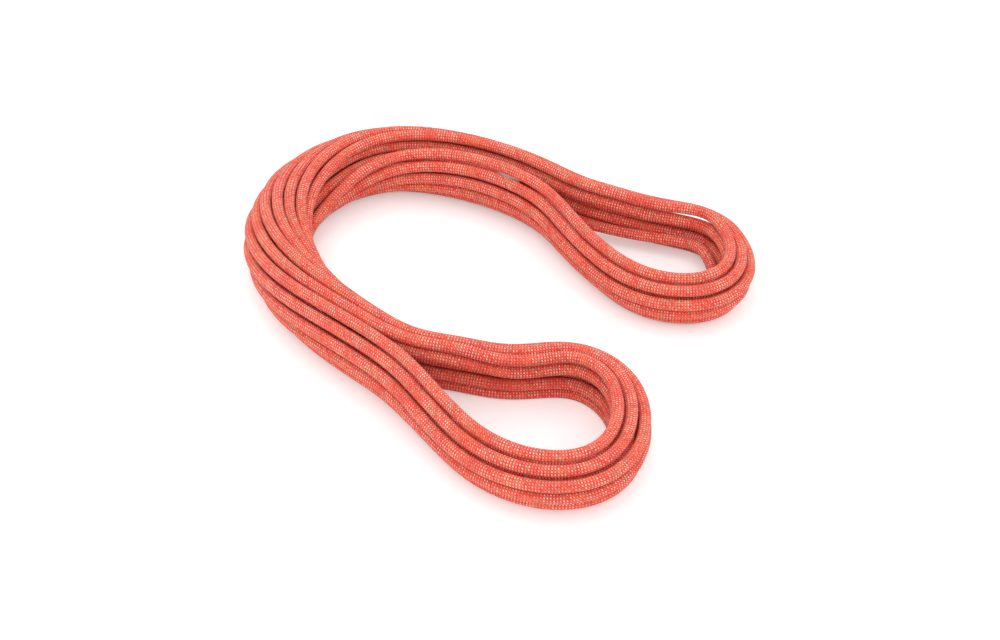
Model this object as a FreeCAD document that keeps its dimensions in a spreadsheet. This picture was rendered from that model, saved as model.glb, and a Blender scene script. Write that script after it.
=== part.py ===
import FreeCAD, Part
import math
import os

# Dynamic climbing rope, laid down as a loose hank: one long cord wound into
# figure-eight loops that are bent round into an open C, with an eye at each end.
# Row frame: millimetres, Z up, the floor is Z = 0, the mouth of the C faces +X.

doc = FreeCAD.newDocument("dynamic_rope")
sheet = doc.addObject("Spreadsheet::Sheet", "dims")

# Driving dimensions in millimetres, angles in degrees, counts as plain numbers.
DIMS = [
    ("rope_dia", 9.5),
    ("sheath_wall", 1.05),
    ("skin_sides", 12),
    ("core_middle", 0.38),
    ("core_clear", 0.06),
    ("lay_clear", 0.95),
    ("outer_turns", 7),
    ("inner_turns", 4),
    ("ring_slack", 1.06),
    ("ring_sway", 5),
    ("hank_width", 387.4),
    ("hank_depth", 348.2),
    ("upper_eye_len", 171.2),
    ("upper_eye_width", 96.2),
    ("lower_eye_len", 196),
    ("lower_eye_width", 127.4),
    ("upper_eye_lean", 0.03),
    ("lower_eye_lean", 0.06),
    ("eye_ring_pitches", 1.915),
    ("crotch_tilt", 12),
    ("floor_wall", 0.1),
    ("loose_lift", 4),
    ("end_flare", 7.5),
    ("end_straight", 26),
    ("sleeve_len", 22),
    ("sleeve_wall", 0.25),
    ("label_len", 12),
    ("label_wall", 0.12),
    ("wrap_clear", 0.03),
    ("tip_len", 5),
    ("tape_width", 1.6),
    ("tape_thick", 0.3),
    ("start_turn", 0.315),
    ("end_turn", 10.86),
    ("stations_per_turn", 31),
]

for row, (name, value) in enumerate(DIMS, start=1):
    sheet.set("A%d" % row, name)
    sheet.set("B%d" % row, str(value))
    sheet.setAlias("B%d" % row, name)
doc.recompute()


def dim(name):
    return float(sheet.get(name))


rope_d = dim("rope_dia")
pitch = rope_d + dim("lay_clear")
outer_turns = int(dim("outer_turns"))
inner_turns = int(dim("inner_turns"))
# The cord is pressed flat on the floor down to this much wall over its bore.
flat = dim("sheath_wall") - dim("floor_wall")

# Round bundle of both limbs: a slack outer ring of turns and an inner ring.
ring_out = dim("ring_slack") * pitch / (2.0 * math.sin(math.pi / (2 * outer_turns)))
ring_in = ring_out - pitch
# Separate limb in an eye: the outer turns close up to a tighter ring.
eye_out = dim("eye_ring_pitches") * pitch

# Plan line of the hank from the tip of the upper eye, along the upper arm,
# round the bend and along the lower arm to the tip of the lower eye, as
# fractions of the width and depth between the outermost line points.
AXIS = [
    (1.000, 0.561), (0.916, 0.574), (0.825, 0.636), (0.714, 0.715),
    (0.614, 0.831), (0.493, 0.931), (0.336, 1.000), (0.181, 0.995),
    (0.061, 0.888), (0.000, 0.743), (0.009, 0.584), (0.069, 0.437),
    (0.170, 0.307), (0.290, 0.186), (0.424, 0.095), (0.542, 0.027),
    (0.644, 0.003), (0.743, 0.000),
]


def natural_spline(values):
    # Second derivatives of the natural cubic spline on unit spacing.
    n = len(values)
    lower = [0.0] * n
    rhs = [0.0] * n
    for i in range(1, n - 1):
        load = 6.0 * (values[i + 1] - 2.0 * values[i] + values[i - 1])
        pivot = 4.0 - lower[i - 1]
        lower[i] = 1.0 / pivot
        rhs[i] = (load - rhs[i - 1]) / pivot
    bend = [0.0] * n
    for i in range(n - 2, 0, -1):
        bend[i] = rhs[i] - lower[i] * bend[i + 1]
    return bend


axis_x = [(p[0] - 0.5) * dim("hank_width") for p in AXIS]
axis_y = [(p[1] - 0.5) * dim("hank_depth") for p in AXIS]
bend_x = natural_spline(axis_x)
bend_y = natural_spline(axis_y)


def spline_at(values, bends, t):
    i = min(max(int(t), 0), len(values) - 2)
    b = t - i
    a = 1.0 - b
    return (a * values[i] + b * values[i + 1]
            + ((a ** 3 - a) * bends[i] + (b ** 3 - b) * bends[i + 1]) / 6.0)


# Table of arc length along the plan line.
FINE = 1200
last = len(AXIS) - 1
plan = []
for i in range(FINE + 1):
    t = last * i / FINE
    plan.append((spline_at(axis_x, bend_x, t), spline_at(axis_y, bend_y, t)))
run = [0.0]
for i in range(FINE):
    step = math.hypot(plan[i + 1][0] - plan[i][0], plan[i + 1][1] - plan[i][1])
    run.append(run[-1] + step)
axis_len = run[-1]


def find(table, value):
    lo = 0
    hi = len(table) - 1
    while hi - lo > 1:
        mid = (lo + hi) // 2
        if table[mid] <= value:
            lo = mid
        else:
            hi = mid
    span = table[hi] - table[lo]
    return lo, (value - table[lo]) / span if span else 0.0


def axis_at(s):
    # Point and left normal of the plan line at run s.
    s = min(max(s, 0.0), axis_len)
    i, f = find(run, s)
    x = plan[i][0] + f * (plan[i + 1][0] - plan[i][0])
    y = plan[i][1] + f * (plan[i + 1][1] - plan[i][1])
    j0 = max(i - 3, 0)
    j1 = min(i + 4, FINE)
    dx = plan[j1][0] - plan[j0][0]
    dy = plan[j1][1] - plan[j0][1]
    size = math.hypot(dx, dy)
    return x, y, -dy / size, dx / size


def smooth(a, b, x):
    t = min(max((x - a) / (b - a), 0.0), 1.0)
    return t * t * t * (t * (6.0 * t - 15.0) + 10.0)


# An eye opens like a drop: slowly out of the bundle, round at the tip.
DROP = 2.4
drop_top = 0.0
drop_peak = 0.0
for i in range(181):
    phi = math.radians(i)
    side = math.sin(phi) * math.sin(phi / 2.0) ** DROP
    if side > drop_top:
        drop_top = side
        drop_peak = phi


def drop(phi, length, width):
    # Run into the eye, half its opening there, and the widest opening passed so far.
    along = length * (1.0 - math.cos(phi)) / 2.0
    side = width / 2.0 * math.sin(phi) * math.sin(phi / 2.0) ** DROP / drop_top
    return along, side, side if phi < drop_peak else width / 2.0


up_len = dim("upper_eye_len")
low_len = dim("lower_eye_len")
up_lean = dim("upper_eye_lean")
low_lean = dim("lower_eye_lean")
mid_len = axis_len - up_len - low_len

# Stations of a limb from upper tip to lower tip: run along the line and half
# the opening, on a travel measured along the limb itself.
stations = []
for i in range(201):
    phi = math.pi * (1.0 - i / 200.0)
    along, side, passed = drop(phi, up_len, dim("upper_eye_width"))
    stations.append((up_len - along, side, -1.0, passed))
for i in range(1, 200):
    stations.append((up_len + mid_len * i / 200.0, 0.0, 0.0, 0.0))
for i in range(201):
    phi = math.pi * i / 200.0
    along, side, passed = drop(phi, low_len, dim("lower_eye_width"))
    stations.append((axis_len - low_len + along, side, 1.0, passed))
going_line = []
coming_line = []
for s, w, end, passed in stations:
    x, y, nx, ny = axis_at(s)
    lean = up_lean if end < 0.0 else low_lean
    far = end * w * (1.0 - lean)
    near = end * w * (1.0 + lean)
    going_line.append((x + far * nx, y + far * ny))
    coming_line.append((x - near * nx, y - near * ny))
travel = [0.0]
for i in range(len(stations) - 1):
    length = 0.0
    for line in (going_line, coming_line):
        length += 0.5 * math.hypot(line[i + 1][0] - line[i][0], line[i + 1][1] - line[i][1])
    travel.append(travel[-1] + length)
limb_len = travel[-1]

# Closed figure-eight line that every turn follows, out on one limb and back on
# the other, with its sharpest bends eased.
CORNERS = 960
EASE = 9
circuit = []
for j in range(CORNERS):
    going = 2 * j < CORNERS
    tau = 2.0 * j / CORNERS if going else 2.0 - 2.0 * j / CORNERS
    line = going_line if going else coming_line
    i, f = find(travel, tau * limb_len)
    x = line[i][0] + f * (line[i + 1][0] - line[i][0])
    y = line[i][1] + f * (line[i + 1][1] - line[i][1])
    circuit.append((x, y))
for once in range(3):
    eased = []
    for j in range(CORNERS):
        x = 0.0
        y = 0.0
        for k in range(j - EASE, j + EASE + 1):
            x += circuit[k % CORNERS][0]
            y += circuit[k % CORNERS][1]
        eased.append((x / (2 * EASE + 1), y / (2 * EASE + 1)))
    circuit = eased


def circuit_at(t):
    # Point and left normal of the line at turn fraction t.
    k = int(t * CORNERS)
    f = t * CORNERS - k
    p0 = circuit[k % CORNERS]
    p1 = circuit[(k + 1) % CORNERS]
    x = p0[0] + f * (p1[0] - p0[0])
    y = p0[1] + f * (p1[1] - p0[1])
    dx = 0.0
    dy = 0.0
    for near in (2, 3, 4):
        a0 = circuit[(k - near) % CORNERS]
        a1 = circuit[(k + 1 - near) % CORNERS]
        b0 = circuit[(k + near) % CORNERS]
        b1 = circuit[(k + 1 + near) % CORNERS]
        dx += (b0[0] - a0[0]) * (1.0 - f) + (b1[0] - a1[0]) * f
        dy += (b0[1] - a0[1]) * (1.0 - f) + (b1[1] - a1[1]) * f
    size = math.hypot(dx, dy)
    return x, y, -dy / size, dx / size


START = dim("start_turn")
END = dim("end_turn")
tilt = math.radians(dim("crotch_tilt"))
twist_from = 0.27
twist_to = 0.73


def section(tau):
    # What the two limbs share at travel fraction tau.
    i, f = find(travel, tau * limb_len)
    passed = stations[i][3] + f * (stations[i + 1][3] - stations[i][3])
    opened = smooth(4.0, 46.0, passed)
    r_out = ring_out + opened * (eye_out - ring_out)
    rise = r_out + rope_d / 2.0 - flat
    upper = smooth(0.02, 0.16, tau)
    part = min(max((tau - twist_from) / (twist_to - twist_from), 0.0), 1.0)
    twist = part * part * (3.0 - 2.0 * part)
    lower = smooth(0.84, 0.98, tau)
    face = math.pi - upper * tilt - twist * (math.pi - 2.0 * tilt) - lower * tilt
    return rise, r_out, face, opened


loose_lift = dim("loose_lift")
ring_sway = math.radians(dim("ring_sway"))
end_flare = dim("end_flare")


def loose(u):
    # Slow unevenness along the whole cord, never inward.
    v = (0.5 + 0.23 * math.sin(2.0 * math.pi * 1.37 * u + 0.6)
         + 0.16 * math.sin(2.0 * math.pi * 2.61 * u + 2.1)
         + 0.11 * math.sin(2.0 * math.pi * 7.43 * u + 4.0))
    return max(v, 0.0) * loose_lift


def lay(u):
    # Point of the cord's centre line on the plan, u in turns.
    k = int(math.floor(u))
    t = u - k
    going = t < 0.5
    tau = 2.0 * t if going else 2.0 - 2.0 * t
    x, y, nx, ny = circuit_at(t)
    rise, r_out, face, opened = section(tau)
    # Turns stand evenly round the whole bundle, and side by side round a limb in an eye.
    swell = opened * (1.0 - opened)
    r_in = r_out - pitch
    side_out = 2.0 * math.asin(min(1.0, pitch / (2.0 * r_out)))
    side_in = 2.0 * math.asin(min(1.0, pitch / (2.0 * r_in)))
    step_out = math.pi / outer_turns
    step_out += opened * (side_out * 1.03 - step_out) + 0.18 * side_out * swell
    step_in = math.pi / inner_turns
    step_in += opened * (side_in * 1.03 - step_in) + 0.25 * swell
    r = r_out
    sway = ring_sway * (1.0 - opened) * math.sin(2.0 * math.pi * 0.93 * u)
    g = (u - outer_turns / 2.0) * step_out + sway
    sink = smooth(outer_turns - 0.06, outer_turns + 0.04, u)
    if sink > 0.0:
        r = r + sink * (r_in - r)
        g = g + sink * ((inner_turns / 2.0 - (u - outer_turns)) * step_in - g)
    a = g + face if going else g - face
    # Outer turns lie a little unevenly, but not where they press on the floor.
    free = (1.0 - sink) * smooth(-0.5, 0.3, math.sin(a))
    r += loose(u) * (0.7 + 0.3 * opened) * free
    # One end flares out under the bundle, the other dives into its hollow middle.
    r += end_flare * (1.0 - smooth(START - 0.04, START + 0.07, u))
    r += smooth(END - 0.09, END + 0.01, u) * (0.35 * pitch - r)
    off = r * math.cos(a)
    return x + off * nx, y + off * ny, rise + r * math.sin(a)


# The origin is the middle of the outermost points of the hank.
laid = [lay(START + (END - START) * i / 1100.0) for i in range(1101)]
mid_x = 0.5 * (min(p[0] for p in laid) + max(p[0] for p in laid))
mid_y = 0.5 * (min(p[1] for p in laid) + max(p[1] for p in laid))


def cord(u):
    # Point of the cord's centre line in the row frame, u in turns.
    x, y, z = lay(u)
    return FreeCAD.Vector(x - mid_x, y - mid_y, z)


STEPS = int(dim("stations_per_turn"))


def station_turn(i):
    # Stations crowd together at the two tips, where the line bends most.
    x = i / float(STEPS)
    return x - 0.35 * math.sin(4.0 * math.pi * x) / (4.0 * math.pi)


half_step = 0.4 / STEPS
route_turns = [START]
for i in range(int(START * STEPS) - 3, int(END * STEPS) + 4):
    u = station_turn(i)
    if START + half_step < u < END - half_step:
        route_turns.append(u)
route_turns.append(END)


def heading(u):
    step = 0.0008
    way = cord(u + step) - cord(u - step)
    way.normalize()
    return way


def half_arc(p0, t0, p1):
    # Arc that leaves p0 along t0 and ends in p1.
    chord = p1 - p0
    axis = t0.cross(chord)
    if axis.Length < 1e-7 * chord.Length:
        return Part.LineSegment(p0, p1).toShape(), 1e6
    axis.normalize()
    inward = axis.cross(t0)
    radius = chord.dot(chord) / (2.0 * chord.dot(inward))
    center = p0 + inward * radius
    out = (p0 + p1) * 0.5 - center
    out.normalize()
    return Part.Arc(p0, center + out * radius, p1).toShape(), radius


def biarc(p0, t0, p1, t1):
    # Two arcs that meet tangentially between two points with given headings.
    v = p1 - p0
    t = t0 + t1
    a = 2.0 * (1.0 - t0.dot(t1))
    b = 2.0 * v.dot(t)
    c = -v.dot(v)
    if a < 1e-9:
        d = -c / b
    else:
        d = (-b + math.sqrt(b * b - 4.0 * a * c)) / (2.0 * a)
    meet = (p0 + p1 + (t0 - t1) * d) * 0.5
    first, r0 = half_arc(p0, t0, meet)
    second, r1 = half_arc(p1, t1 * -1.0, meet)
    return [first, second], min(r0, r1)


points = [cord(u) for u in route_turns]
ways = [heading(u) for u in route_turns]
straight = dim("end_straight")
start_tip = points[0] - ways[0] * straight
end_tip = points[-1] + ways[-1] * straight
edges = [Part.LineSegment(start_tip, points[0]).toShape()]
least_radius = 1e9
for i in range(len(points) - 1):
    pair, radius = biarc(points[i], ways[i], points[i + 1], ways[i + 1])
    edges += pair
    least_radius = min(least_radius, radius)
edges.append(Part.LineSegment(points[-1], end_tip).toShape())
spine = Part.Wire(Part.__sortEdges__(edges))
print("cord length %.1f mm in %d runs and arcs" % (spine.Length, len(spine.Edges)))
print("ring radii %.2f and %.2f mm, in an eye %.2f mm" % (ring_out, ring_in, eye_out))
print("least bend radius of the centre line %.2f mm" % least_radius)

# Least gap of the cord to itself, on points along the arcs.
marks = []
places = []
so_far = 0.0
for edge in spine.Edges:
    count = max(2, int(edge.Length / 1.5))
    span = edge.LastParameter - edge.FirstParameter
    for i in range(count):
        marks.append(edge.valueAt(edge.FirstParameter + span * i / count))
        places.append(so_far + edge.Length * i / count)
    so_far += edge.Length
CELL = 13.0
cells = {}
for i, p in enumerate(marks):
    key = (int(p.x // CELL), int(p.y // CELL), int(p.z // CELL))
    cells.setdefault(key, []).append(i)
nearest = CELL
for (cx, cy, cz), members in cells.items():
    around = []
    for ix in (cx - 1, cx, cx + 1):
        for iy in (cy - 1, cy, cy + 1):
            for iz in (cz - 1, cz, cz + 1):
                around += cells.get((ix, iy, iz), [])
    for i in members:
        p = marks[i]
        for j in around:
            if j > i and abs(places[j] - places[i]) > 4.0 * rope_d:
                gap = p.distanceToPoint(marks[j])
                if gap < nearest:
                    nearest = gap
least_gap = nearest - rope_d
print("least gap of the cord to itself %.2f mm" % least_gap)


# Two directions square to the cord's start.
start_side = FreeCAD.Vector(0, 0, 1).cross(ways[0])
start_side.normalize()
start_up = ways[0].cross(start_side)


def corner(radius, angle):
    # Point square to the cord's start, off its centre line.
    right = start_side * (radius * math.cos(angle))
    return start_tip + right + start_up * (radius * math.sin(angle))


def profile(corners):
    return Part.makePolygon(corners + corners[:1])


def faceted(radius, sides):
    return profile([corner(radius, 2.0 * math.pi * (i + 0.5) / sides) for i in range(sides)])


def rim(shell, place, radius):
    # Open edge of a tube shell round an end of the cord.
    around = []
    for edge in shell.Edges:
        away = [abs(v.Point.distanceToPoint(place) - radius) for v in edge.Vertexes]
        if max(away) < 1e-3:
            around.append(edge)
    return Part.Wire(Part.__sortEdges__(around))


CORE_SIDES = 6

# Braided sheath: one hollow tube along the whole cord, flat where it lies on the floor.
skin_sides = int(dim("skin_sides"))
bore_r = rope_d / 2.0 - dim("sheath_wall")
skin = spine.makePipeShell([faceted(rope_d / 2.0, skin_sides)], False, False)
bore = spine.makePipeShell([faceted(bore_r, CORE_SIDES)], False, False)
faces = skin.Faces + [face.reversed() for face in bore.Faces]
for place in (start_tip, end_tip):
    faces.append(Part.Face([rim(skin, place, rope_d / 2.0), rim(bore, place, bore_r)]))
hull = Part.Shell(faces)
tube = Part.Solid(hull)
tube.fix(1e-6, 1e-6, 1e-6)
skin_area = skin_sides / 2.0 * (rope_d / 2.0) ** 2 * math.sin(2.0 * math.pi / skin_sides)
bore_area = CORE_SIDES / 2.0 * bore_r ** 2 * math.sin(2.0 * math.pi / CORE_SIDES)
expected = spine.Length * (skin_area - bore_area)
print("sheath volume %.0f mm3, section times length %.0f mm3" % (tube.Volume, expected))
reach = 4.0 * (dim("hank_width") + dim("hank_depth"))
above = Part.makeBox(reach, reach, reach, FreeCAD.Vector(-reach / 2, -reach / 2, 0))
sheath = doc.addObject("Part::Feature", "sheath")
sheath.Label = "sheath"
sheath.Shape = tube.common(above)


def strand_piece(name, corners):
    made = doc.addObject("Part::Feature", name)
    made.Label = name
    made.Shape = spine.makePipeShell([profile(corners)], True, False)
    return made


# Core: one strand in the middle and one in each sixth round it, pressed flat
# against each other and against the sheath. The last leaves room for the tape.
clear = dim("core_clear")
tape_t = dim("tape_thick")
half = math.pi / CORE_SIDES
flat_r = bore_r * math.cos(half) - clear
mid_r = dim("core_middle") * bore_r
mid_flat = mid_r * math.cos(half)
strand_piece("core_strand_1", [corner(mid_r, 2.0 * half * (i + 0.5)) for i in range(CORE_SIDES)])


def slab(middle, near, far, wide_near, wide_far):
    # Four corners of a piece that lies flat across the direction at angle middle.
    made = []
    for reach_out, wide in ((near, -wide_near), (far, -wide_far), (far, wide_far), (near, wide_near)):
        made.append(corner(math.hypot(reach_out, wide), middle + math.atan2(wide, reach_out)))
    return made


for i in range(CORE_SIDES):
    near = mid_flat + clear
    far = flat_r
    if i == CORE_SIDES - 1:
        far -= tape_t + clear
    shift = clear / 2.0 / math.cos(half)
    wide_near = near * math.tan(half) - shift
    wide_far = far * math.tan(half) - shift
    strand_piece("core_strand_%d" % (i + 2), slab(2.0 * half * i, near, far, wide_near, wide_far))

# Identification tape, flat between the last strand and the sheath.
tape_w = dim("tape_width") / 2.0
last_middle = 2.0 * half * (CORE_SIDES - 1)
strand_piece("id_tape", slab(last_middle, flat_r - tape_t, flat_r, tape_w, tape_w))


def cylinder(name, radius, height):
    made = doc.addObject("Part::Cylinder", name)
    made.setExpression("Radius", radius)
    made.setExpression("Height", height)
    return made


def seat(target, place, way, along):
    # Stand a piece that was made on Z along a heading, shifted along it.
    turn = FreeCAD.Rotation(FreeCAD.Vector(0, 0, 1), way)
    target.Placement = FreeCAD.Placement(place + way * along, turn)


ends = [("a", start_tip, ways[0] * -1.0), ("b", end_tip, ways[-1])]
for letter, place, way in ends:
    # Fused tip: sheath and core melted into one domed button.
    body = cylinder("tip_body_" + letter, "dims.rope_dia / 2", "dims.tip_len")
    dome = doc.addObject("Part::Sphere", "tip_dome_" + letter)
    dome.setExpression("Radius", "dims.rope_dia * 0.65")
    dome.setExpression("Placement.Base.z", "dims.tip_len - dims.rope_dia * 0.59")
    tip = doc.addObject("Part::Common", "tip_" + letter)
    tip.Base = body
    tip.Tool = dome
    tip.Label = "tip_" + letter
    # Blank label band, wrapped on the rope under the sleeve.
    label_in = "dims.rope_dia / 2 + dims.wrap_clear"
    band = cylinder("label_band_" + letter, label_in + " + dims.label_wall", "dims.label_len")
    hole = cylinder("label_hole_" + letter, label_in, "dims.label_len")
    label = doc.addObject("Part::Cut", "label_" + letter)
    label.Base = band
    label.Tool = hole
    label.Label = "label_" + letter
    # Clear shrink sleeve over the label.
    sleeve_in = label_in + " + dims.label_wall + dims.wrap_clear"
    wrap = cylinder("sleeve_body_" + letter, sleeve_in + " + dims.sleeve_wall", "dims.sleeve_len")
    core = cylinder("sleeve_hole_" + letter, sleeve_in, "dims.sleeve_len")
    sleeve = doc.addObject("Part::Cut", "sleeve_" + letter)
    sleeve.Base = wrap
    sleeve.Tool = core
    sleeve.Label = "sleeve_" + letter
    doc.recompute()
    seat(tip, place, way, 0.0)
    seat(sleeve, place, way, -1.0 - dim("sleeve_len"))
    seat(label, place, way, -1.0 - dim("sleeve_len") / 2.0 - dim("label_len") / 2.0)

doc.recompute()

nodes = ["sheath", "id_tape"]
nodes += ["core_strand_%d" % n for n in range(1, CORE_SIDES + 2)]
for letter in ("a", "b"):
    nodes += ["tip_" + letter, "sleeve_" + letter, "label_" + letter]

for item in doc.Objects:
    for word in item.State:
        if word in ("Invalid", "Error"):
            raise RuntimeError("%s is %s" % (item.Name, word))
os.makedirs("parts", exist_ok=True)
for name in nodes:
    item = doc.getObject(name)
    shape = item.Shape
    if shape.isNull() or not shape.isValid():
        raise RuntimeError("bad shape in " + name)
    if len(shape.Solids) != 1:
        raise RuntimeError("%s has %d solids" % (name, len(shape.Solids)))
    shape.exportStep("parts/%s.step" % name)
    box = shape.BoundBox
    size = (name, shape.Volume, box.XLength, box.YLength, box.ZLength)
    print("%s volume %.1f size %.1f %.1f %.1f" % size)
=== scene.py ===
import math

import bpy
import numpy as np
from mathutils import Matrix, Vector


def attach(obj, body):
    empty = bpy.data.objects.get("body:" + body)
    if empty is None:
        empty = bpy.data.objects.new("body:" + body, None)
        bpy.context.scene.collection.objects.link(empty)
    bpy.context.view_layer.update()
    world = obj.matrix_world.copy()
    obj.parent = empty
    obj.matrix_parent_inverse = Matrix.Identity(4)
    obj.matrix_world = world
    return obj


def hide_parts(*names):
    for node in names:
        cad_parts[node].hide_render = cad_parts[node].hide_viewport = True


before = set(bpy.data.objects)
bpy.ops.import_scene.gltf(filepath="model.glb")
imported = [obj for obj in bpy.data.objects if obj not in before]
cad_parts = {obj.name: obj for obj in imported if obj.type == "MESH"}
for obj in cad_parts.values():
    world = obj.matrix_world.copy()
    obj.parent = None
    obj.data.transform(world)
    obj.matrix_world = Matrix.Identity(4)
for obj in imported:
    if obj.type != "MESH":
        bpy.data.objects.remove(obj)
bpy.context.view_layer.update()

scene = bpy.context.scene
scene.view_settings.view_transform = "Standard"


# Camera. The rope lies on a floor and is looked down on from in front at 40 degrees,
# through a long lens that draws the half-metre hank with little perspective.
LOOK_DOWN = math.radians(40.0)
LOOK_FROM = 1.7
LOOK_AT = Vector((0.0021, 0.0084, 0.0))
LENS = 72.0

camera = bpy.data.objects.new("camera", bpy.data.cameras.new("camera"))
camera.data.lens = LENS
camera.data.sensor_width = 36.0
back = Vector((0.0, -math.cos(LOOK_DOWN), math.sin(LOOK_DOWN)))
camera.location = LOOK_AT + back * LOOK_FROM
camera.rotation_mode = "QUATERNION"
camera.rotation_quaternion = (-back).to_track_quat("-Z", "Y")
scene.collection.objects.link(camera)
scene.camera = camera


# The rope's way. About 21.5 m of 9.5 mm rope lie in ten and a half figure-eight turns,
# bent round into an open C with an eye at each end. Between the eyes both limbs of
# every turn share one loose round bundle of seven outer and four inner turns.
ROPE = 0.0095
PITCH = ROPE + 0.00095
OUTER_TURNS = 7
INNER_TURNS = 4
RING_SLACK = 1.06
RING_SWAY = math.radians(5.0)
HANK_WIDTH = 0.3874
HANK_DEPTH = 0.3482
UPPER_EYE = {"length": 0.1712, "width": 0.0962, "lean": 0.03}
LOWER_EYE = {"length": 0.196, "width": 0.1274, "lean": 0.06}
EYE_RING_PITCHES = 1.915
EYE_SPREAD = 1.03
OPEN_FROM, OPEN_TO = 0.004, 0.046
CROTCH_TILT = math.radians(12.0)
TILT_FROM, TILT_TO = 0.02, 0.16
TWIST_FROM, TWIST_TO = 0.27, 0.73
SINK_BEFORE, SINK_AFTER = 0.06, 0.04
FLOOR_FLAT = 0.00095
LOOSE_LIFT = 0.004
END_FLARE = 0.0075
END_STRAIGHT = 0.026
START, END = 0.315, 10.86
POINTS_PER_TURN = 124
CROWDING = 0.35
HEADING_STEP = 0.0008
PLAN_STEPS = 1200
EYE_STEPS = 200

RING_OUT = RING_SLACK * PITCH / (2.0 * math.sin(math.pi / (2 * OUTER_TURNS)))
EYE_OUT = EYE_RING_PITCHES * PITCH

# Plan line of the hank from the tip of the upper eye round the bend to the tip of the
# lower eye, as fractions of its width and depth.
AXIS = [
    (1.000, 0.561), (0.916, 0.574), (0.825, 0.636), (0.714, 0.715),
    (0.614, 0.831), (0.493, 0.931), (0.336, 1.000), (0.181, 0.995),
    (0.061, 0.888), (0.000, 0.743), (0.009, 0.584), (0.069, 0.437),
    (0.170, 0.307), (0.290, 0.186), (0.424, 0.095), (0.542, 0.027),
    (0.644, 0.003), (0.743, 0.000),
]


def smooth(a, b, x):
    t = min(max((x - a) / (b - a), 0.0), 1.0)
    return t * t * t * (t * (6.0 * t - 15.0) + 10.0)


def natural_spline(values, places):
    # Natural cubic spline through values on unit spacing, read at places.
    n = len(values)
    rows = np.eye(n)
    loads = np.zeros(n)
    for i in range(1, n - 1):
        rows[i, i - 1:i + 2] = 1.0, 4.0, 1.0
        loads[i] = 6.0 * (values[i + 1] - 2.0 * values[i] + values[i - 1])
    bends = np.linalg.solve(rows, loads)
    i = np.clip(places.astype(int), 0, n - 2)
    b = places - i
    a = 1.0 - b
    curl = (a ** 3 - a) * bends[i] + (b ** 3 - b) * bends[i + 1]
    return a * values[i] + b * values[i + 1] + curl / 6.0


def lengths(x, y):
    return np.concatenate([[0.0], np.cumsum(np.hypot(np.diff(x), np.diff(y)))])


fine = np.linspace(0.0, len(AXIS) - 1.0, PLAN_STEPS + 1)
plan_x = natural_spline(np.array([(p[0] - 0.5) * HANK_WIDTH for p in AXIS]), fine)
plan_y = natural_spline(np.array([(p[1] - 0.5) * HANK_DEPTH for p in AXIS]), fine)
run = lengths(plan_x, plan_y)
axis_len = run[-1]


def axis_at(s):
    # Point and left normal of the plan line at run s.
    s = min(max(s, 0.0), axis_len)
    i = min(max(int(np.searchsorted(run, s, "right")) - 1, 0), PLAN_STEPS - 1)
    f = (s - run[i]) / (run[i + 1] - run[i])
    x = plan_x[i] + f * (plan_x[i + 1] - plan_x[i])
    y = plan_y[i] + f * (plan_y[i + 1] - plan_y[i])
    j0 = max(i - 3, 0)
    j1 = min(i + 4, PLAN_STEPS)
    dx = plan_x[j1] - plan_x[j0]
    dy = plan_y[j1] - plan_y[j0]
    size = math.hypot(dx, dy)
    return x, y, -dy / size, dx / size


# An eye opens like a drop: slowly out of the bundle, round at the tip.
DROP = 2.4
half_turn = [math.radians(i) for i in range(181)]
drop_top = max(math.sin(p) * math.sin(p / 2.0) ** DROP for p in half_turn)
drop_peak = max(half_turn, key=lambda p: math.sin(p) * math.sin(p / 2.0) ** DROP)

# Stations of a limb from tip to tip: the two limbs' plan points and the widest
# opening passed so far.
going_x, going_y, coming_x, coming_y, passed = [], [], [], [], []
bundle_len = axis_len - UPPER_EYE["length"] - LOWER_EYE["length"]
for step in range(3 * EYE_STEPS + 1):
    upper = step <= EYE_STEPS
    eye = UPPER_EYE if upper else LOWER_EYE
    if EYE_STEPS < step < 2 * EYE_STEPS:
        s = UPPER_EYE["length"] + bundle_len * (step - EYE_STEPS) / EYE_STEPS
        side, wide, end = 0.0, 0.0, 0.0
    else:
        phi = math.pi * (1.0 - step / EYE_STEPS if upper else (step - 2 * EYE_STEPS) / EYE_STEPS)
        along = eye["length"] * (1.0 - math.cos(phi)) / 2.0
        half = eye["width"] / 2.0
        side = half * math.sin(phi) * math.sin(phi / 2.0) ** DROP / drop_top
        wide = side if phi < drop_peak else half
        end = -1.0 if upper else 1.0
        s = eye["length"] - along if upper else axis_len - eye["length"] + along
    x, y, nx, ny = axis_at(s)
    far = end * side * (1.0 - eye["lean"])
    near = end * side * (1.0 + eye["lean"])
    going_x.append(x + far * nx)
    going_y.append(y + far * ny)
    coming_x.append(x - near * nx)
    coming_y.append(y - near * ny)
    passed.append(wide)
travel = 0.5 * (lengths(going_x, going_y) + lengths(coming_x, coming_y))
limb_len = travel[-1]

# Closed figure-eight line that every turn follows, with its sharpest bends eased.
CORNERS = 960
EASE = 9
EASE_ROUNDS = 3
circuit = np.zeros((CORNERS, 2))
for j in range(CORNERS):
    tau = 2.0 * j / CORNERS if 2 * j < CORNERS else 2.0 - 2.0 * j / CORNERS
    line = (going_x, going_y) if 2 * j < CORNERS else (coming_x, coming_y)
    circuit[j] = [np.interp(tau * limb_len, travel, values) for values in line]
for once in range(EASE_ROUNDS):
    circuit = sum(np.roll(circuit, k, axis=0) for k in range(-EASE, EASE + 1)) / (2 * EASE + 1)


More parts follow.
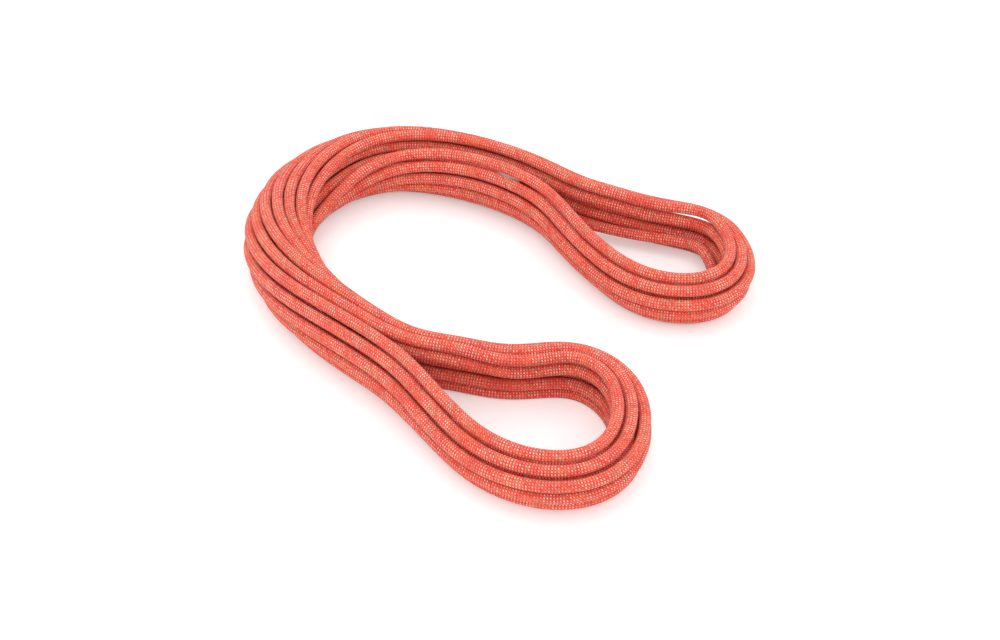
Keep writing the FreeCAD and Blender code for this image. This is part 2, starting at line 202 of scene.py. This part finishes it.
def circuit_at(t):
    # Point and left normal of the line at turn fraction t.
    k = int(t * CORNERS)
    f = t * CORNERS - k
    x, y = circuit[k % CORNERS] * (1.0 - f) + circuit[(k + 1) % CORNERS] * f
    dx, dy = 0.0, 0.0
    for near in (2, 3, 4):
        this = circuit[(k + near) % CORNERS] - circuit[(k - near) % CORNERS]
        after = circuit[(k + 1 + near) % CORNERS] - circuit[(k + 1 - near) % CORNERS]
        dx += this[0] * (1.0 - f) + after[0] * f
        dy += this[1] * (1.0 - f) + after[1] * f
    size = math.hypot(dx, dy)
    return x, y, -dy / size, dx / size


def loose(u):
    # Slow unevenness along the whole cord, never inward.
    v = 0.5
    for share, rate, phase in ((0.23, 1.37, 0.6), (0.16, 2.61, 2.1), (0.11, 7.43, 4.0)):
        v += share * math.sin(2.0 * math.pi * rate * u + phase)
    return max(v, 0.0) * LOOSE_LIFT


def lay(u):
    # Point of the cord's centre line on the plan, u in turns.
    t = u - math.floor(u)
    going = t < 0.5
    tau = 2.0 * t if going else 2.0 - 2.0 * t
    x, y, nx, ny = circuit_at(t)
    opened = smooth(OPEN_FROM, OPEN_TO, float(np.interp(tau * limb_len, travel, passed)))
    r_out = RING_OUT + opened * (EYE_OUT - RING_OUT)
    rise = r_out + ROPE / 2.0 - FLOOR_FLAT
    part = min(max((tau - TWIST_FROM) / (TWIST_TO - TWIST_FROM), 0.0), 1.0)
    twist = part * part * (3.0 - 2.0 * part)
    tilted = smooth(TILT_FROM, TILT_TO, tau) + smooth(1.0 - TILT_TO, 1.0 - TILT_FROM, tau)
    face = math.pi - tilted * CROTCH_TILT - twist * (math.pi - 2.0 * CROTCH_TILT)
    # Turns stand evenly round the whole bundle, and side by side round a limb in an eye.
    swell = opened * (1.0 - opened)
    r_in = r_out - PITCH
    side_out = 2.0 * math.asin(min(1.0, PITCH / (2.0 * r_out)))
    side_in = 2.0 * math.asin(min(1.0, PITCH / (2.0 * r_in)))
    step_out = math.pi / OUTER_TURNS
    step_out += opened * (side_out * EYE_SPREAD - step_out) + 0.18 * side_out * swell
    step_in = math.pi / INNER_TURNS
    step_in += opened * (side_in * EYE_SPREAD - step_in) + 0.25 * swell
    r = r_out
    sway = RING_SWAY * (1.0 - opened) * math.sin(2.0 * math.pi * 0.93 * u)
    g = (u - OUTER_TURNS / 2.0) * step_out + sway
    sink = smooth(OUTER_TURNS - SINK_BEFORE, OUTER_TURNS + SINK_AFTER, u)
    if sink > 0.0:
        r += sink * (r_in - r)
        g += sink * ((INNER_TURNS / 2.0 - (u - OUTER_TURNS)) * step_in - g)
    a = g + face if going else g - face
    # Outer turns lie a little unevenly, but not where they press on the floor.
    free = (1.0 - sink) * smooth(-0.5, 0.3, math.sin(a))
    r += loose(u) * (0.7 + 0.3 * opened) * free
    # One end flares out under the bundle, the other dives into its hollow middle.
    r += END_FLARE * (1.0 - smooth(START - 0.04, START + 0.07, u))
    r += smooth(END - 0.09, END + 0.01, u) * (0.35 * PITCH - r)
    off = r * math.cos(a)
    return x + off * nx, y + off * ny, rise + r * math.sin(a)


LAID_STEPS = 1100
laid = np.array([lay(START + (END - START) * i / LAID_STEPS) for i in range(LAID_STEPS + 1)])
middle = np.append(0.5 * (laid[:, :2].min(axis=0) + laid[:, :2].max(axis=0)), 0.0)


def cord(u):
    return np.array(lay(u)) - middle


def heading(u):
    way = cord(u + HEADING_STEP) - cord(u - HEADING_STEP)
    return way / np.linalg.norm(way)


# Points crowd together at the two tips, where the line bends most, and each end runs
# out straight.
turns = [START]
half_step = 0.4 / POINTS_PER_TURN
for i in range(int(START * POINTS_PER_TURN) - 6, int(END * POINTS_PER_TURN) + 7):
    x = i / POINTS_PER_TURN
    u = x - CROWDING * math.sin(4.0 * math.pi * x) / (4.0 * math.pi)
    if START + half_step < u < END - half_step:
        turns.append(u)
turns.append(END)
route = [cord(START) - heading(START) * END_STRAIGHT * part for part in (1.0, 0.6, 0.25)]
route += [cord(u) for u in turns]
route += [cord(END) + heading(END) * END_STRAIGHT * part for part in (0.25, 0.6, 1.0)]

line = bpy.data.curves.new("rope_line", "CURVE")
line.dimensions = "3D"
line.resolution_u = 5
spline = line.splines.new("NURBS")
spline.points.add(len(route) - 1)
for point, place in zip(spline.points, route):
    point.co = (*place, 1.0)
spline.order_u = 3
spline.use_endpoint_u = True
line_object = bpy.data.objects.new("rope_line", line)
scene.collection.objects.link(line_object)
bpy.context.view_layer.update()
depsgraph = bpy.context.evaluated_depsgraph_get()
read = bpy.data.meshes.new_from_object(line_object.evaluated_get(depsgraph))
centre = np.array([v.co for v in read.vertices], dtype=float)
bpy.data.meshes.remove(read)
bpy.data.objects.remove(line_object)
along = np.concatenate([[0.0], np.cumsum(np.linalg.norm(np.diff(centre, axis=0), axis=1))])
cord_len = float(along[-1])


# Braided sheath of solution-dyed polyamide, 24 yarns that cross one over one round the
# core. It presses flat where it lies on the floor.
RING_STEP = 0.0041
SIDES = 16
ROUND = math.pi * ROPE
MAP_ROWS = 27
ROW_END = 0.003
ROW_SIDE = 0.03
CAP_SPOT = 0.001

rings = int(cord_len / RING_STEP / MAP_ROWS + 1) * MAP_ROWS + 1
marks = np.linspace(0.0, cord_len, rings)
places = np.stack([np.interp(marks, along, centre[:, k]) for k in range(3)], axis=1)
ways = np.gradient(places, axis=0)
ways /= np.linalg.norm(ways, axis=1)[:, None]
right = np.cross([0.0, 0.0, 1.0], ways[0])
rights = np.zeros_like(places)
for i, way in enumerate(ways):
    right = right - way * right.dot(way)
    right /= np.linalg.norm(right)
    rights[i] = right
ups = np.cross(ways, rights)
corners = 2.0 * math.pi * np.arange(SIDES) / SIDES
ring = rights[:, None, :] * np.cos(corners)[None, :, None]
ring = ring + ups[:, None, :] * np.sin(corners)[None, :, None]
skin = places[:, None, :] + ring * (ROPE / 2.0)
skin[:, :, 2] = np.maximum(skin[:, :, 2], 0.0)

first = (np.arange(rings - 1) * SIDES)[:, None]
here = np.arange(SIDES)[None, :]
after = (here + 1) % SIDES
quads = np.stack([first + here, first + after, first + SIDES + after, first + SIDES + here], axis=-1)
faces = quads.reshape(-1, 4).tolist()
faces.append(list(range(SIDES))[::-1])
faces.append([(rings - 1) * SIDES + k for k in range(SIDES)])
mesh = bpy.data.meshes.new("braided_sheath")
mesh.from_pydata(skin.reshape(-1, 3).tolist(), [], faces)
mesh.polygons.foreach_set("use_smooth", [True] * (len(faces) - 2) + [False] * 2)

# Two maps: one in metres along and round the cord, for the braid, and one that lays the
# cord out in rows, side by side, for painting its finish.
cells = (rings - 1, SIDES)
side_a = np.broadcast_to(here * ROUND / SIDES, cells)
side_b = side_a + ROUND / SIDES
mark_a = np.broadcast_to(marks[:-1, None], cells)
mark_b = np.broadcast_to(marks[1:, None], cells)
braid_map = np.stack([mark_a, side_a, mark_a, side_b, mark_b, side_b, mark_b, side_a], axis=-1)
per_row = (rings - 1) // MAP_ROWS
row = np.arange(rings - 1) // per_row
start = ROW_END + (1.0 - 2.0 * ROW_END) * (np.arange(rings - 1) - row * per_row) / per_row
low = np.broadcast_to(start[:, None], cells)
high = low + (1.0 - 2.0 * ROW_END) / per_row
cell = (1.0 - 2.0 * ROW_SIDE) / SIDES
base = (row[:, None] + ROW_SIDE + cell * here) / MAP_ROWS
top = base + cell / MAP_ROWS
row_map = np.stack([low, base, low, top, high, top, high, base], axis=-1)
cap = np.full(4 * SIDES, CAP_SPOT)
for name, layout in (("braid", braid_map), ("OFBake", row_map)):
    layer = mesh.uv_layers.new(name=name)
    layer.data.foreach_set("uv", np.concatenate([layout.reshape(-1), cap]))
mesh.update()
sheath = bpy.data.objects.new("rope", mesh)
scene.collection.objects.link(sheath)


def linear(hex_code):
    # Linear colour of an sRGB hex value.
    parts = [int(hex_code[i:i + 2], 16) / 255.0 for i in (1, 3, 5)]
    return (*[c / 12.92 if c <= 0.04045 else ((c + 0.055) / 1.055) ** 2.4 for c in parts], 1.0)


def add_node(tree, kind, inputs=None, **settings):
    # Adds one node, sets it up, and gives its inputs values or the outputs of others.
    node = tree.nodes.new("ShaderNode" + kind)
    for name, value in settings.items():
        setattr(node, name, value)
    for socket, value in (inputs or {}).items():
        if isinstance(value, bpy.types.Node):
            value = next(output for output in value.outputs if output.enabled)
        if isinstance(value, bpy.types.NodeSocket):
            tree.links.new(value, node.inputs[socket])
        else:
            node.inputs[socket].default_value = value
    return node


def blank(name):
    # New material with an empty node tree.
    material = bpy.data.materials.new(name)
    material.use_nodes = True
    material.node_tree.nodes.clear()
    return material


# Dyed polyamide yarn, dull with a faint sheen. Its filaments let a little light through,
# which keeps the grooves between turns red. A stitch of the braid is 2.4 mm long and
# 2.5 mm wide. Yarns of one lay are orange; most of the other lay carry a pale thread that
# shows as a short dash across the heart of each stitch.
STITCH_LENGTH = 0.0024
STITCHES_ROUND = 12
STITCH_DRIFT = 9.0
ORANGE = linear("#FC7046")
RED = linear("#E43E32")
# Crimson of the painted shade in the dips between the yarns.
GROOVE_SHADE_CRIMSON = linear("#CE2438")
PALE = linear("#FFE2CC")
DULL = linear("#9C8C6C")

braid = blank("braided_polyamide")
tree = braid.node_tree
place = add_node(tree, "SeparateXYZ", {0: add_node(tree, "UVMap", uv_map="braid")})
down = add_node(tree, "Math", {0: place.outputs[0], 1: 1.0 / STITCH_LENGTH}, operation="MULTIPLY")
about = add_node(tree, "Math", {0: place.outputs[1], 1: STITCHES_ROUND / ROUND}, operation="MULTIPLY")
about = add_node(tree, "Math", {0: place.outputs[0], 1: STITCH_DRIFT, 2: about}, operation="MULTIPLY_ADD")

# Two sets of yarns run round the rope in opposite lays. Across each yarn its height is
# the arch of a sine.
number, arch = [], []
for lay_way in ("ADD", "SUBTRACT"):
    yarn = add_node(tree, "Math", {0: down, 1: about}, operation=lay_way)
    number.append(add_node(tree, "Math", {0: yarn}, operation="FLOOR"))
    across = add_node(tree, "Math", {0: yarn}, operation="FRACT")
    across = add_node(tree, "Math", {0: across, 1: math.pi}, operation="MULTIPLY")
    arch.append(add_node(tree, "Math", {0: across}, operation="SINE"))
crown = []
for own, other in ((0, 1), (1, 0)):
    swell = add_node(tree, "Math", {0: arch[other], 1: 0.45, 2: 0.55}, operation="MULTIPLY_ADD")
    crown.append(add_node(tree, "Math", {0: arch[own], 1: swell}, operation="MULTIPLY"))
ahead = add_node(tree, "Math", {0: number[0], 1: number[1]}, operation="ADD")
second = add_node(tree, "Math", {0: ahead, 1: 2.0}, operation="FLOORED_MODULO")
height = add_node(tree, "Mix", {0: second, 2: crown[0], 3: crown[1]}, data_type="FLOAT")

# Chance numbers: one for each stitch, the same on both sides of the map's seam, one for
# each pale yarn, and slow ones that let dashes fade and come back along the rope.
turned = add_node(tree, "Math", {0: number[0], 1: number[1]}, operation="SUBTRACT")
turned = add_node(tree, "Math", {0: turned, 1: 2.0 * STITCHES_ROUND}, operation="FLOORED_MODULO")
stitch = add_node(tree, "CombineXYZ", {0: ahead, 1: turned})
chance = add_node(tree, "TexWhiteNoise", {0: stitch}, noise_dimensions="2D")
luck = add_node(tree, "SeparateXYZ", {0: chance.outputs["Color"]})
own_yarn = add_node(tree, "Math", {0: number[1], 1: STITCHES_ROUND}, operation="FLOORED_MODULO")
yarn_luck = add_node(tree, "TexWhiteNoise", {"W": own_yarn}, noise_dimensions="1D")
slow_inputs = {"W": place.outputs[0], "Scale": 30.0, "Detail": 3.0}
slow = add_node(tree, "TexNoise", slow_inputs, noise_dimensions="1D")

# The pale dash: narrow along the rope, wide round it.
pinch = add_node(tree, "Math", {0: down, 1: math.pi}, operation="MULTIPLY")
pinch = add_node(tree, "Math", {0: pinch}, operation="SINE")
pinch = add_node(tree, "Math", {0: pinch, 1: pinch}, operation="MULTIPLY")
heart = add_node(tree, "Math", {0: pinch, 1: -0.7, 2: height}, operation="MULTIPLY_ADD")
heart = add_node(tree, "MapRange", {0: heart, 1: 0.2, 2: 0.6})
heart = add_node(tree, "Math", {0: heart, 1: second}, operation="MULTIPLY")
bright = add_node(tree, "MapRange", {0: luck.outputs[0], 3: 0.9, 4: 0.3})
heart = add_node(tree, "Math", {0: heart, 1: bright}, operation="MULTIPLY")
plain = add_node(tree, "MapRange", {0: yarn_luck, 1: 0.1, 2: 0.3, 3: 0.3, 4: 1.0})
heart = add_node(tree, "Math", {0: heart, 1: plain}, operation="MULTIPLY")
fade = add_node(tree, "MapRange", {0: slow, 1: 0.38, 2: 0.52, 3: 0.5, 4: 1.0})
heart = add_node(tree, "Math", {0: heart, 1: fade}, operation="MULTIPLY")

# Shade of the dye differs from stitch to stitch and slowly along the rope. Painted shade turns
# it crimson in the dips between the yarns, and fine filaments fuzz each yarn. They are 0.03 mm
# thick and are drawn ten times coarser, because they wouldn't show.
where = add_node(tree, "TexCoord").outputs["Object"]
cloud = add_node(tree, "TexNoise", {"Vector": where, "Scale": 70.0, "Detail": 3.0})
shade = add_node(tree, "MapRange", {0: cloud, 1: 0.4, 2: 0.62, 4: 0.6})
tone = add_node(tree, "MapRange", {0: luck.outputs[1], 1: 0.3, 2: 1.0, 4: 0.9})
# Painted shade: the lower a point lies between the yarns, the more it turns crimson.
painted_groove_shade = add_node(tree, "MapRange", {0: height, 1: 0.05, 2: 0.55})
odd = add_node(tree, "MapRange", {0: luck.outputs[2], 1: 0.9, 2: 0.95, 4: 0.75})
fuzz = add_node(tree, "TexNoise", {"Vector": where, "Scale": 2600.0, "Detail": 2.0})
dye_and_painted_shade = add_node(tree, "Mix", {0: tone, 6: ORANGE, 7: RED}, data_type="RGBA")
dye_and_painted_shade = add_node(tree, "Mix", {0: shade, 6: dye_and_painted_shade, 7: RED}, data_type="RGBA")
# Painted shade laid over the dye in the dips between the yarns.
dye_and_painted_shade = add_node(tree, "Mix", {0: painted_groove_shade, 6: GROOVE_SHADE_CRIMSON, 7: dye_and_painted_shade}, data_type="RGBA")
dye_and_painted_shade = add_node(tree, "Mix", {0: odd, 6: dye_and_painted_shade, 7: DULL}, data_type="RGBA")
dye_and_painted_shade = add_node(tree, "Mix", {0: heart, 6: dye_and_painted_shade, 7: PALE}, data_type="RGBA")
relief = add_node(tree, "Math", {0: fuzz, 1: 0.25, 2: height}, operation="MULTIPLY_ADD")
bump = add_node(tree, "Bump", {"Strength": 0.6, "Distance": 0.0004, "Height": relief})
cloth = add_node(tree, "BsdfPrincipled", {
    "Base Color": dye_and_painted_shade, "Roughness": 0.85, "IOR": 1.53, "Normal": bump,
    "Subsurface Weight": 0.35, "Subsurface Radius": (1.0, 0.35, 0.2), "Subsurface Scale": 0.0015,
    "Sheen Weight": 0.12, "Sheen Roughness": 0.45, "Sheen Tint": linear("#FFD9CC"),
})
add_node(tree, "OutputMaterial", {0: cloth})
mesh.materials.append(braid)

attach(sheath, "root")
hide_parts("sheath")


def finish(name, nodes):
    # Puts a new material on CAD nodes in place of their packed one, and gives its node tree.
    material = blank(name)
    for node in nodes:
        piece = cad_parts[node]
        if not piece.material_slots:
            piece.data.materials.append(material)
        for slot in piece.material_slots:
            slot.material = material
    return material.node_tree


# Core of seven strands of twisted white polyamide, inside the sheath. Fine filaments
# give it a bright, slightly fibrous look, and are drawn as coarse as those of the sheath.
tree = finish("twisted_core_yarn", ["core_strand_%d" % n for n in range(1, 8)])
where = add_node(tree, "TexCoord").outputs["Object"]
fibre = add_node(tree, "TexNoise", {"Vector": where, "Scale": 1800.0, "Detail": 3.0})
tint = add_node(tree, "Mix", {0: fibre, 6: linear("#D9D6CB"), 7: linear("#F7F6F0")}, data_type="RGBA")
bump = add_node(tree, "Bump", {"Strength": 0.5, "Distance": 0.0002, "Height": fibre})
yarn = add_node(tree, "BsdfPrincipled", {
    "Base Color": tint, "Roughness": 0.6, "IOR": 1.53, "Sheen Weight": 0.2, "Normal": bump,
})
add_node(tree, "OutputMaterial", {0: yarn})


# Marker tape of thin blue polyester film, laid in along the core. Faint streaks come from
# drawing the film: they are 0.1 mm wide, and are drawn 2.5 mm wide so that they show.
tree = finish("polyester_film_tape", ["id_tape"])
where = add_node(tree, "TexCoord").outputs["Object"]
streak = add_node(tree, "TexNoise", {"Vector": where, "Scale": 400.0})
tint = add_node(tree, "Mix", {0: streak, 6: linear("#2C66A0"), 7: linear("#3F7DB8")}, data_type="RGBA")
film = add_node(tree, "BsdfPrincipled", {"Base Color": tint, "Roughness": 0.35, "IOR": 1.6})
add_node(tree, "OutputMaterial", {0: film})


# Fused ends: sheath and core melted together into a hard glassy button, darker than the
# yarn, with small ripples where the melt set.
tree = finish("melted_polyamide", ["tip_a", "tip_b"])
where = add_node(tree, "TexCoord").outputs["Object"]
ripple = add_node(tree, "TexNoise", {"Vector": where, "Scale": 700.0, "Detail": 4.0})
burn = add_node(tree, "MapRange", {0: ripple, 1: 0.4, 2: 0.7})
tint = add_node(tree, "Mix", {0: burn, 6: linear("#9C3A2A"), 7: linear("#5A2118")}, data_type="RGBA")
bump = add_node(tree, "Bump", {"Strength": 0.6, "Distance": 0.0003, "Height": ripple})
button = add_node(tree, "BsdfPrincipled", {
    "Base Color": tint, "Roughness": 0.28, "IOR": 1.53, "Normal": bump,
})
add_node(tree, "OutputMaterial", {0: button})


# Blank end labels of white film with a faint paper-like mottle.
tree = finish("white_label_film", ["label_a", "label_b"])
where = add_node(tree, "TexCoord").outputs["Object"]
mottle = add_node(tree, "TexNoise", {"Vector": where, "Scale": 900.0, "Detail": 3.0})
tint = add_node(tree, "Mix", {0: mottle, 6: linear("#E4E1DA"), 7: linear("#F4F2EC")}, data_type="RGBA")
paper = add_node(tree, "BsdfPrincipled", {"Base Color": tint, "Roughness": 0.5})
add_node(tree, "OutputMaterial", {0: paper})


# Clear shrink sleeves over the labels, thin polyolefin with a soft gloss and the slight
# waviness that shrinking leaves.
tree = finish("clear_shrink_sleeve", ["sleeve_a", "sleeve_b"])
where = add_node(tree, "TexCoord").outputs["Object"]
wave = add_node(tree, "TexNoise", {"Vector": where, "Scale": 350.0, "Detail": 2.0})
bump = add_node(tree, "Bump", {"Strength": 0.4, "Distance": 0.0002, "Height": wave})
clear = add_node(tree, "BsdfPrincipled", {
    "Base Color": linear("#F4F7F8"), "Roughness": 0.12, "IOR": 1.49, "Alpha": 0.3, "Normal": bump,
})
add_node(tree, "OutputMaterial", {0: clear})


# Floor and light. A matt white sweep that reads as plain white to the camera and keeps
# the rope's shadow, a bright even room, and two soft lamps from above.
FLOOR = 6.0
FLOOR_DROP = 0.0002
FLOOR_LIFT = 0.3
ROOM = 1.03


def looked_at(tree):
    # One where a surface is seen by the camera, in a gloss or through clear film.
    rays = add_node(tree, "LightPath").outputs
    seen = rays["Is Camera Ray"]
    for name in ("Is Glossy Ray", "Is Transmission Ray"):
        seen = add_node(tree, "Math", {0: seen, 1: rays[name]}, operation="MAXIMUM")
    return seen


material = blank("matt_white_floor")
tree = material.node_tree
lift = add_node(tree, "Math", {0: looked_at(tree), 1: FLOOR_LIFT}, operation="MULTIPLY")
white = add_node(tree, "BsdfDiffuse", {"Color": linear("#F2F2F2")})
glow = add_node(tree, "Emission", {"Color": linear("#FFFFFF"), "Strength": lift})
add_node(tree, "OutputMaterial", {0: add_node(tree, "AddShader", {0: white, 1: glow})})
mesh = bpy.data.meshes.new("floor")
edge = [(-FLOOR, -FLOOR), (FLOOR, -FLOOR), (FLOOR, FLOOR), (-FLOOR, FLOOR)]
mesh.from_pydata([(x, y, -FLOOR_DROP) for x, y in edge], [], [(0, 1, 2, 3)])
mesh.materials.append(material)
floor = bpy.data.objects.new("floor", mesh)
scene.collection.objects.link(floor)

world = bpy.data.worlds.new("studio")
world.use_nodes = True
tree = world.node_tree
tree.nodes.clear()
level_inputs = {0: looked_at(tree), 1: 1.0 - ROOM, 2: ROOM}
level = add_node(tree, "Math", level_inputs, operation="MULTIPLY_ADD")
sky = add_node(tree, "Background", {"Color": linear("#FFFFFF"), "Strength": level})
add_node(tree, "OutputWorld", {0: sky})
scene.world = world

for name, place, size, power in (
    ("overhead", (-0.5, 0.35, 1.9), 1.5, 4.5),
    ("front", (0.1, -1.7, 1.5), 1.2, 6.5),
):
    lamp = bpy.data.objects.new(name, bpy.data.lights.new(name, "AREA"))
    lamp.data.size = size
    lamp.data.energy = power
    lamp.location = place
    lamp.rotation_mode = "QUATERNION"
    lamp.rotation_quaternion = (-Vector(place)).to_track_quat("-Z", "Y")
    scene.collection.objects.link(lamp)
